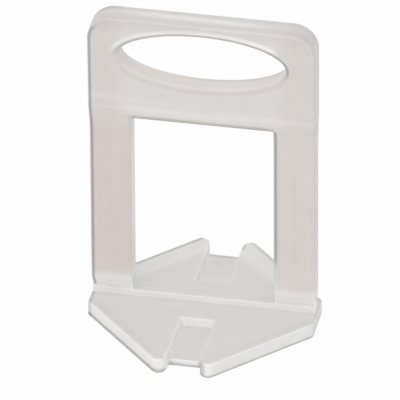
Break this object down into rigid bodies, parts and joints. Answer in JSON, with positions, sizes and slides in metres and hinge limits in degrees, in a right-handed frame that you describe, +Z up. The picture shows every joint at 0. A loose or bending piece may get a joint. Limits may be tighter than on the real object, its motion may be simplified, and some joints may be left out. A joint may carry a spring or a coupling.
{
  "type": "tile levelling clip",
  "caption": "One-piece translucent clip with a notched hexagonal base plate, break-off legs either side of a wedge window, and a head with an oval finger hole.",
  "frame": {"origin": "middle of the base plate's underside", "axes": "+X along the cross rib from leg to leg, -Y the front, +Z up from the base plate to the head"},
  "size_m": [0.0318, 0.0328, 0.0477],
  "materials": {
    "milky_plastic": "translucent, smooth satin"
  },
  "bodies": {
    "root": {"levelling_clip": "milky_plastic"}
  },
  "joints": []
}
